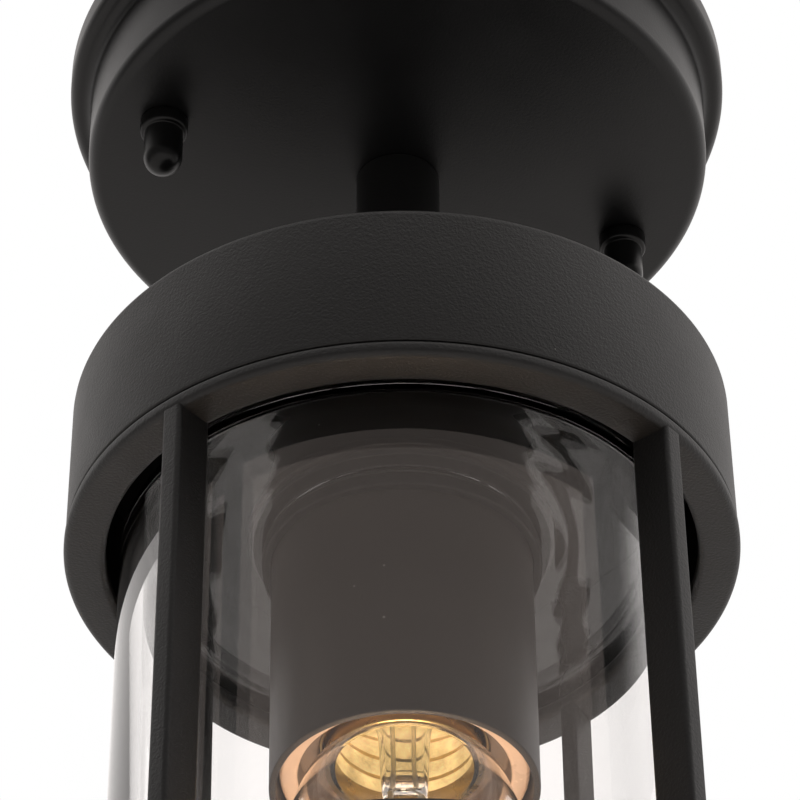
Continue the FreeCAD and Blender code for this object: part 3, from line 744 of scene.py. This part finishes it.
class LANTERN_OT_cage(bpy.types.Operator):
    """Makes the cage: three rings with rounded edges and four flat bars"""

    bl_idname = "lantern.cage"
    bl_label = "Cage"

    def execute(self, context):
        paint = frame_coat(context)
        outer, edge = reach("frame_top_ring"), 1.2
        inner, bar, turn, count = outer - RING_WIDTH, BAR_THICK, BAR_TURN, BAR_COUNT
        for node in ("frame_top_ring", "frame_bottom_ring"):
            outline = ring_outline(outer, inner, bottom(node), top(node), edge)
            place(turned(node + "_form", outline, steps=320), paint, "frame_paint", [node])
        low, high = bottom("frame_middle_arcs"), top("frame_middle_arcs")
        middle = (outer + inner) / 2
        section = ring_outline(outer - middle, inner - middle, low, high, edge)
        gap = math.degrees(math.asin(bar / 2 / middle)) * 0.96
        arcs = []
        for n in range(count):
            first = turn + 360 / count * n
            a = np.radians(np.linspace(first + gap, first + 360 / count - gap, 81))
            across = np.column_stack((np.cos(a), np.sin(a), 0 * a))
            upward = np.tile((0.0, 0.0, 1.0), (len(a), 1))
            arcs.append(carried("arc", section, across * middle, across, upward))
        place(joined("frame_middle_form", arcs), paint, "frame_paint", ["frame_middle_arcs"])
        flat = ring_outline(outer, inner, -bar / 2, bar / 2, 0.8)
        for n in range(count):
            node = f"frame_bar_{n + 1}"
            a = math.radians(turn + 360 / count * n)
            heights = np.linspace(bottom(node) - 0.4, top(node) + 0.4, 25)
            path = np.column_stack((0 * heights, 0 * heights, heights))
            across = np.tile((math.cos(a), math.sin(a), 0.0), (len(heights), 1))
            aside = np.tile((-math.sin(a), math.cos(a), 0.0), (len(heights), 1))
            place(carried(node + "_form", flat, path, across, aside), paint, "frame_paint", [node])
        return {"FINISHED"}


class LANTERN_OT_glass(bpy.types.Operator):
    """Makes the glass cylinder: open below, with a rounded corner and a flat, holed top"""

    bl_idname = "lantern.glass"
    bl_label = "Glass"

    def execute(self, context):
        settings = context.scene.lantern_glass
        low, high = bottom("glass"), top("glass")
        radius, wall, corner, hole, foot = reach("glass"), GLASS_WALL, GLASS_CORNER, GLASS_HOLE, 1.2
        centre = (radius - corner, high - corner)
        depth, step = settings.ripple / MM, settings.ripple_step / MM
        flat = np.linspace(radius - corner, hole + 0.5, 121)[1:-1]
        fade = np.clip((radius - corner - flat) / 2, 0, 1) * np.clip((flat - hole - 4) / 2, 0, 1)
        ripple = depth * fade * (0.5 - 0.5 * np.cos(2 * np.pi * flat / step))
        outline = np.vstack(
            (
                arc((radius - foot, low + foot), foot, -90, 0, 8),
                arc(centre, corner, 0, 90, 16),
                np.column_stack((flat, high - ripple)),
                arc((hole + 0.5, high - 0.5), 0.5, 90, 180, 4),
                arc((hole + 0.5, high - wall + 0.5), 0.5, 180, 270, 4),
                np.column_stack((flat, high - wall - ripple))[::-1],
                arc(centre, corner - wall, 90, 0, 12),
                arc((radius - wall + foot, low + foot), foot, 180, 270, 8),
            )
        )
        made = turned("glass_form", outline, steps=256, crease=60)
        place(made, clear("clear glass", settings.tint), "clear_glass", ["glass"], "glass")
        made.visible_shadow = False
        return {"FINISHED"}


class LANTERN_OT_glass_fittings(bpy.types.Operator):
    """Makes the retaining ring and the two soft rings at the glass"""

    bl_idname = "lantern.glass_fittings"
    bl_label = "Glass fittings"

    def execute(self, context):
        coats = context.scene.lantern_coat
        soft = moulding("silicone", (0.02, 0.02, 0.02), 0.55)
        for node, body in (("upper_gasket", LANTERN), ("lower_gasket", "retaining_ring")):
            outline = ring_outline(reach(node), GLASS_HOLE, bottom(node), top(node), 0.2)
            place(turned(node + "_form", outline), soft, "silicone", [node], body)
        low, high = bottom("retaining_ring"), top("retaining_ring")
        outer, inner = reach("retaining_ring"), RETAINER_BORE
        outline = rounded([(inner, low, 0.2), (outer, low, 0.5), (outer, high, 0.5), (inner, high, 0.2)])
        paint = coat("ring coat", coats.stem_colour, 0.5, 1500.0, 0.00001, 0.05, 0.2)
        made = turned("retaining_form", outline)
        place(made, paint, "sleeve_paint", ["retaining_ring"], "retaining_ring")
        return {"FINISHED"}


class LANTERN_OT_sleeve(bpy.types.Operator):
    """Makes the socket sleeve: a deep cup with a flange for the glass"""

    bl_idname = "lantern.sleeve"
    bl_label = "Socket sleeve"

    def execute(self, context):
        low, high = bottom("socket_sleeve"), top("socket_sleeve")
        wall, edge, bore, flange = SHEET, 3.0, PIPE_HOLE, reach("socket_sleeve")
        radius = flange - 4.0
        ledge = top("upper_gasket")
        outline = rounded(
            [
                (radius, low, 0.3),
                (radius, ledge, 0),
                (flange, ledge, 0.3),
                (flange, ledge + 1.5, 0.3),
                (radius, ledge + 1.5, 0.3),
                (radius, high, edge),
                (bore, high, 0),
                (bore, high - wall, 0),
                (radius - wall, high - wall, edge - wall),
                (radius - wall, low, 0.3),
            ]
        )
        coats = context.scene.lantern_coat
        paint = coat("sleeve coat", coats.sleeve_colour, 0.5, 900.0, 0.0000015, 0.22)
        place(turned("sleeve_form", outline), paint, "sleeve_paint", ["socket_sleeve"])
        return {"FINISHED"}


class LANTERN_OT_lamp_holder(bpy.types.Operator):
    """Makes the lamp holder's moulding, with painted shade in its bore, and its brass screw shell"""

    bl_idname = "lantern.lamp_holder"
    bl_label = "Lamp holder"

    def execute(self, context):
        low, high = bottom("lamp_holder"), top("lamp_holder")
        floor = top("holder_shell")
        radius, bore = reach("lamp_holder"), HOLDER_BORE
        skirt, ledge = radius - 3.2, low + 5.0
        outline = np.vstack(
            (
                [(0, floor)],
                rounded(
                    [
                        (bore, floor, 0),
                        (bore, ledge, 0.4),
                        (skirt, ledge, 0.6),
                        (skirt, low, 0.8),
                        (radius, low, 0.8),
                        (radius, high, 0.8),
                        (0, high, 0),
                    ]
                )[:-1],
                [(0, high)],
            )
        )
        tone = context.scene.lantern_glass.holder_colour
        moulded = moulding("holder moulding", tone, 0.3, 700.0, 0.00001, 0.4)
        # Painted shade: a copy of the moulding at 0.3 of its colour goes on the faces inside the bore, where
        # shade falls.
        painted_shade_bore = moulding("holder bore painted shade", tuple(0.3 * c for c in tone), 0.4, 700.0, 0.00001, 0.2)
        holder = turned("holder_form", outline, poles=True)
        place(holder, moulded, "holder_moulding", ["lamp_holder"])
        lined(holder, painted_shade_bore, skirt + 0.2, high - 1.0)
        brass = metal("brass sheet", (0.78, 0.56, 0.27))
        start, end, sheet, lip = bottom("holder_shell"), top("holder_shell"), 0.5, 4.0
        outer = reach("holder_shell")
        inner = outer - sheet
        shell = rounded(
            [
                (inner, start, 0.15),
                (outer, start, 0.15),
                (outer, end, 0.3),
                (inner - lip, end, 0.1),
                (inner - lip, end - sheet, 0.1),
                (inner, end - sheet, 0.1),
            ]
        )
        place(turned("holder_shell_form", shell), brass, "brass_sheet", ["holder_shell"])
        return {"FINISHED"}


class LANTERN_OT_bulb_cap(bpy.types.Operator):
    """Makes the bulb's screw cap with its rolled thread, its insulator and its contact"""

    bl_idname = "lantern.bulb_cap"
    bl_label = "Bulb cap"

    def execute(self, context):
        low, high = bottom("bulb_cap"), top("bulb_cap")
        root, crest, wall, pitch = reach("bulb_insulator"), reach("bulb_cap"), 0.5, 3.6
        start, end = low + 3.4, high - 2.4

        def thread(t, z):
            wave = 0.5 + 0.5 * np.cos(2 * np.pi * (z - start) / pitch - t)
            fade = np.clip((z - start) / 1.5, 0, 1) * np.clip((end - z) / 1.5, 0, 1)
            return (crest - root) * wave**1.4 * fade

        rise = np.linspace(low + 2.6, high - 1.0, 90)
        outline = np.vstack(
            (
                [(crest - 0.15, low), (crest, low + 0.15), (crest, low + 1.9)],
                [(root + 0.15, low + 2.3)],
                np.column_stack((np.full(len(rise), root), rise)),
                arc((root - 0.8, high - 0.8), 0.8, 0, 90, 5),
                [(root - wall, high)],
                np.column_stack((np.full(len(rise), root - wall), rise[::-1])),
                [(root - wall, low + 0.1), (root - wall + 0.1, low)],
            )
        )
        gold = metal("cap metal", context.scene.lantern_glass.cap_colour, 0.22, 2500.0)
        cap = turned("bulb_cap_form", outline, steps=160, swell=thread, crease=60)
        place(cap, gold, "cap_metal", ["bulb_cap"], "bulb")
        lining = glowing_cap_lining(context.scene.lantern_glass.cap_colour)
        inner, outer, ceiling, roof = root - wall + 0.02, root - wall + 0.2, high - 3.4, high - 3.2
        inside = rounded(
            [
                (0, ceiling, 0),
                (inner, ceiling, 1.0),
                (inner, low + 0.3, 0),
                (outer, low + 0.3, 0),
                (outer, roof, 1.0),
                (0, roof, 0),
            ]
        )
        liner = turned("bulb_cap_lining", inside, steps=128, poles=True)
        liner.data.materials.append(lining)
        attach(liner, "bulb")
        low, high = bottom("bulb_insulator"), top("bulb_insulator")
        cone = rounded([(0, low, 0), (root, low, 0.2), (6.0, high, 0.5), (0, high, 0)])
        dark = moulding("cap insulator", (0.012, 0.012, 0.013), 0.15, coat_weight=0.5)
        made = turned("bulb_insulator_form", cone, steps=96, poles=True)
        place(made, dark, "cap_insulator", ["bulb_insulator"], "bulb")
        low, high = bottom("bulb_contact"), top("bulb_contact")
        edge = arc((3.8, high - 1.2), 1.2, 0, 80, 8)
        button = np.vstack(([(0, low), (5.0, low)], edge, [(2.0, high), (0, high)]))
        lead = metal("solder", (0.55, 0.55, 0.53), 0.38, 900.0, 0.00002)
        made = turned("bulb_contact_form", button, steps=64, poles=True)
        place(made, lead, "solder", ["bulb_contact"], "bulb")
        return {"FINISHED"}


class LANTERN_OT_bulb_glass(bpy.types.Operator):
    """Makes the bulb's blown glass and the flared glass stem inside it"""

    bl_idname = "lantern.bulb_glass"
    bl_label = "Bulb glass"

    def execute(self, context):
        rim = bottom("bulb_cap")
        neck = 12.0
        ball, drop, join = reach("bulb_envelope"), 52.0, 16.0
        head = rim + 16.0
        centre = (0, rim - drop)

        def skin(inset):
            ends = arc(centre, ball - inset, join, -90, 40)
            waist = [(neck - inset, rim - 0.2), (15.5 - inset, rim - 2.2), (18.5 - inset, rim - 9.0)]
            cone = [((18.5 - inset + ends[0, 0]) / 2, (rim - 9.0 + ends[0, 1]) / 2)]
            flare = smooth_through(waist + cone + [tuple(ends[0])], 14)
            return np.vstack(([(neck - inset, head)], flare[:-1], ends))

        outer, inner = skin(0.0), skin(0.7)
        outline = np.vstack((outer[::-1], inner))
        outline[0, 0] = outline[-1, 0] = 0.0
        tints = context.scene.lantern_glass
        blown = clear("bulb glass", tints.bulb_tint)
        bulb = turned("bulb_glass_form", outline, poles=True, crease=70)
        place(bulb, blown, "bulb_glass", ["bulb_envelope"], "bulb")
        bulb.visible_shadow = False
        start, press = top("bulb_stem"), rim - PRESS_DROP
        mouth = [(11.0, start), (7.5, start - 1.5), (4.6, start - 8.0)]
        throat = [(3.9, rim - 2.0), (3.1, press + 2.0), (2.6, press)]
        flare = smooth_through(mouth + throat, 10)
        inside = flare.copy()
        inside[:, 0] = np.maximum(inside[:, 0] - 0.8, 0.0)
        keep = inside[:, 1] > rim - 4.0
        outline = np.vstack(
            ([(0, press - 0.2)], flare[::-1], inside[keep], [(2.2, rim - 5.0), (0, rim - 5.6)])
        )
        pressed = clear("stem glass", tints.bulb_tint)
        stem = turned("bulb_stem_form", outline, steps=128, poles=True, crease=60)
        place(stem, pressed, "stem_glass", ["bulb_stem"], "bulb")
        stem.visible_shadow = False
        return {"FINISHED"}


class LANTERN_OT_bulb_lights(bpy.types.Operator):
    """Makes the bulb's filaments, their wires and the rod that carries them"""

    bl_idname = "lantern.bulb_lights"
    bl_label = "Filaments and wires"

    def execute(self, context):
        rim = bottom("bulb_cap")
        press = rim - PRESS_DROP
        length, count, narrow, wide = 34.0, 4, 4.0, 10.0
        drop = math.sqrt(length**2 - (wide - narrow) ** 2)
        start = press - 4.5
        angles = [math.radians(45.0 + 360.0 / count * n) for n in range(count)]
        sticks, wires = [], []
        for a in angles:
            out = np.array((math.cos(a), math.sin(a), 0.0))
            high = out * narrow + (0, 0, start)
            low = out * wide + (0, 0, start - drop)
            sticks.append(tube("stick", np.linspace(high, low, 9), 0.85, 18))
            root = out * 1.4 + (0, 0, press + 3.0)
            wires.append(tube("wire", smooth_through([root, out * 1.7 + (0, 0, press - 1.5), high], 8), 0.3))
            hub = np.array((0, 0, press - 44.0)) + out * 0.9
            wires.append(tube("wire", smooth_through([low, low * (0.5, 0.5, 1) - (0, 0, 3.0), hub], 8), 0.3))
        for side in (-1, 1):
            bent = [(side * 2.0, 0.5, rim + 15.0), (side * 1.8, 0.3, rim), (side * 1.5, 0.0, press + 2.5)]
            wires.append(tube("wire", smooth_through(bent, 10), 0.4))
        glow = moulding("phosphor", (0.86, 0.6, 0.16), 0.45, 2500.0)
        place(joined("bulb_filament_form", sticks), glow, "phosphor", ["bulb_filaments"], "bulb")
        drawn = metal("lead wire", (0.72, 0.69, 0.62), 0.3)
        place(joined("bulb_wire_form", wires), drawn, "lead_wire", ["bulb_wires"], "bulb")
        rod = tube("bulb_rod_form", [(0, 0, press - 0.1), (0, 0, press - 22), (0, 0, press - 44)], 0.9, 20)
        rod.data.materials.append(bpy.data.materials["stem glass"])
        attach(rod, "bulb")
        return {"FINISHED"}


class LANTERN_OT_hardware(bpy.types.Operator):
    """Gives the frame's own hardware its plated, brass and painted finishes"""

    bl_idname = "lantern.hardware"
    bl_label = "Hardware"

    def execute(self, context):
        plated = metal("zinc plate", (0.6, 0.61, 0.62), 0.34, 3000.0)
        brass = bpy.data.materials["brass sheet"]
        mount = ("crossbar", "canopy_studs", "stud_lock_nuts", "threaded_pipe")
        seats = ("upper_washer", "upper_nut", "lower_washer", "lower_nut")
        held = ("holder_bushing", "holder_screws")
        finishes = {
            **dict.fromkeys(mount + seats + held, plated),
            "holder_contact": brass,
            "ground_screw": coat("ground coat", (0.02, 0.16, 0.05), 0.35, 1500.0, 0.000008, 0.02),
            "canopy_gasket": moulding("foam", (0.03, 0.03, 0.03), 0.85, 1200.0, 0.00015),
            "frame_posts": frame_coat(context),
            "cage_screws": bpy.data.materials["nut coat"],
        }
        for node, finish in finishes.items():
            mesh = NODES[node].data
            mesh.materials.clear()
            mesh.materials.append(finish)
        return {"FINISHED"}


# ---------------------------------------------------------------- stage


def smooth_step(tree, value, low, high):
    """Rises from 0 to 1 as value goes from low to high."""
    settings = {"interpolation_type": "SMOOTHSTEP"}
    node = add(tree, "ShaderNodeMapRange", settings, Value=value, From_Min=low, From_Max=high)
    return node.outputs["Result"]


def blend(tree, share, first, second):
    """Goes from the first number to the second as share goes from 0 to 1."""
    return add(tree, "ShaderNodeMix", {"data_type": "FLOAT"}, i0=share, i2=first, i3=second).outputs[0]


def studio_world(settings):
    """Surroundings: a bright backdrop, a pale wall behind the viewer, and dimmer elsewhere.

    Each edge is the range of a direction's cosine over which one gives way to the next. The camera sees
    white. A ray that only passes through glass sees the backdrop's light from every side. Of the rest,
    only a mirror reflection sees the wall warm and at its full strength.
    """
    world = bpy.data.worlds.new("studio")
    bpy.context.scene.world = world
    world.use_nodes = True
    tree = world.node_tree
    background = tree.nodes["Background"]
    way = add(tree, "ShaderNodeTexCoord").outputs["Generated"]
    dot = {"operation": "DOT_PRODUCT"}
    ahead = add(tree, "ShaderNodeVectorMath", dot, i0=way, i1=BACKDROP_WAY).outputs["Value"]
    toward = add(tree, "ShaderNodeVectorMath", dot, i0=way, i1=VIEWER_WAY).outputs["Value"]
    height = add(tree, "ShaderNodeSeparateXYZ", Vector=way).outputs["Z"]
    wall = smooth_step(tree, toward, *WALL_EDGE)
    ray = add(tree, "ShaderNodeLightPath").outputs
    lit = smooth_step(tree, ahead, *BACKDROP_EDGE)
    soft = spread(tree, lit, settings.front_light, settings.back_light)
    soft = maths(tree, "ADD", soft, maths(tree, "MULTIPLY", wall, settings.wall_light * settings.wall_share))
    shine = maths(tree, "MULTIPLY", ray["Is Glossy Ray"], smooth_step(tree, ahead, *SHINE_EDGE))
    soft = maths(tree, "MAXIMUM", soft, shine)
    level_way = smooth_step(tree, height, *GROUND_EDGE)
    beyond = maths(tree, "MULTIPLY", smooth_step(tree, toward, *BEYOND_EDGE), level_way)
    through = spread(tree, beyond, settings.front_light, settings.through_light)
    sharp = maths(tree, "ADD", through, maths(tree, "MULTIPLY", wall, settings.wall_light))
    turns = maths(tree, "ADD", ray["Glossy Depth"], ray["Diffuse Depth"])
    straight = maths(tree, "MULTIPLY", ray["Is Transmission Ray"], maths(tree, "LESS_THAN", turns, 0.5))
    sharp = blend(tree, straight, sharp, settings.through_light)
    level = blend(tree, ray["Is Singular Ray"], soft, sharp)
    level = blend(tree, ray["Is Camera Ray"], level, 1.0)
    tree.links.new(level, background.inputs["Strength"])
    mirrored = maths(tree, "MULTIPLY", ray["Is Singular Ray"], maths(tree, "SUBTRACT", wall, straight))
    warm = mixed(tree, mirrored, WARM_WHITE, WARM_WALL)
    tree.links.new(mixed(tree, ray["Is Camera Ray"], warm, (1.0, 1.0, 1.0)), background.inputs["Color"])


def photo_camera():
    """Camera below the lantern, looking up: the image plane's axes are turned by the roll about the view."""
    lens = bpy.data.cameras.new("camera")
    lens.sensor_width = SENSOR
    lens.lens = SENSOR * VIEW_FOCUS / VIEW_WIDTH
    lens.clip_start, lens.clip_end = 0.02, 50.0
    camera = linked("camera", lens)
    right = (VIEW_RIGHT - VIEW_AHEAD * VIEW_RIGHT.dot(VIEW_AHEAD)).normalized()
    up = right.cross(VIEW_AHEAD)
    turned_right = right * math.cos(VIEW_ROLL) + up * math.sin(VIEW_ROLL)
    turned_up = up * math.cos(VIEW_ROLL) - right * math.sin(VIEW_ROLL)
    axes = Matrix((turned_right, turned_up, -VIEW_AHEAD)).transposed()
    camera.matrix_world = Matrix.Translation(VIEW_PLACE) @ axes.to_4x4()
    bpy.context.scene.camera = camera


class LANTERN_OT_stage(bpy.types.Operator):
    """Makes the floor, the light and the camera"""

    bl_idname = "lantern.stage"
    bl_label = "Stage"

    def execute(self, context):
        settings = context.scene.lantern_stage
        half, drop = 6.0, settings.floor_drop
        corners = [(-half, -half, -drop), (half, -half, -drop), (half, half, -drop), (-half, half, -drop)]
        mesh = bpy.data.meshes.new("floor")
        mesh.from_pydata(corners, [], [(0, 1, 2, 3)])
        floor = linked("floor", mesh)
        material, tree, shader = new_material("floor paint")
        shader.inputs["Base Color"].default_value = (*settings.floor_colour, 1.0)
        shader.inputs["Roughness"].default_value = 0.8
        seen = add(tree, "ShaderNodeLightPath")
        lit = maths(tree, "MULTIPLY", seen.outputs["Is Camera Ray"], 0.45)
        tree.links.new(lit, shader.inputs["Emission Strength"])
        shader.inputs["Emission Color"].default_value = (1.0, 1.0, 1.0, 1.0)
        mesh.materials.append(material)
        studio_world(settings)
        photo_camera()
        glow = bpy.data.lights.new("bulb glow", "POINT")
        glow.energy, glow.color, glow.shadow_soft_size = settings.bulb_power, BULB_LIGHT, 0.008
        lamp = linked("bulb glow", glow)
        lamp.location = (0, 0, (bottom("bulb_filaments") + top("bulb_filaments")) / 2 * MM)
        context.scene.view_settings.view_transform = "Standard"
        return {"FINISHED"}


# ---------------------------------------------------------------- panel and main

OPERATORS = (
    LANTERN_OT_canopy,
    LANTERN_OT_cap_nuts,
    LANTERN_OT_stem,
    LANTERN_OT_drum,
    LANTERN_OT_cage,
    LANTERN_OT_glass,
    LANTERN_OT_glass_fittings,
    LANTERN_OT_sleeve,
    LANTERN_OT_lamp_holder,
    LANTERN_OT_bulb_cap,
    LANTERN_OT_bulb_glass,
    LANTERN_OT_bulb_lights,
    LANTERN_OT_hardware,
    LANTERN_OT_stage,
)


class LANTERN_PT_panel(bpy.types.Panel):
    """Lists the lantern's settings and its pieces"""

    bl_idname = "LANTERN_PT_panel"
    bl_label = "Porch ceiling lantern"
    bl_space_type = "VIEW_3D"
    bl_region_type = "UI"
    bl_category = "Lantern"

    def draw(self, context):
        for group in (context.scene.lantern_coat, context.scene.lantern_glass, context.scene.lantern_stage):
            box = self.layout.box()
            for name in group.__annotations__:
                box.prop(group, name)
        for operator in OPERATORS:
            self.layout.operator(operator.bl_idname)


CLASSES = (LanternCoat, LanternGlass, LanternStage, *OPERATORS, LANTERN_PT_panel)


def register():
    """Registers the classes and puts the settings on the scene."""
    for made in CLASSES:
        bpy.utils.register_class(made)
    bpy.types.Scene.lantern_coat = PointerProperty(type=LanternCoat)
    bpy.types.Scene.lantern_glass = PointerProperty(type=LanternGlass)
    bpy.types.Scene.lantern_stage = PointerProperty(type=LanternStage)


def unregister():
    """Takes the settings off the scene and unregisters the classes."""
    del bpy.types.Scene.lantern_coat
    del bpy.types.Scene.lantern_glass
    del bpy.types.Scene.lantern_stage
    for made in reversed(CLASSES):
        bpy.utils.unregister_class(made)


def main():
    """Makes every piece in order."""
    register()
    for operator in OPERATORS:
        group, name = operator.bl_idname.split(".")
        getattr(getattr(bpy.ops, group), name)()


if __name__ == "__main__":
    main()
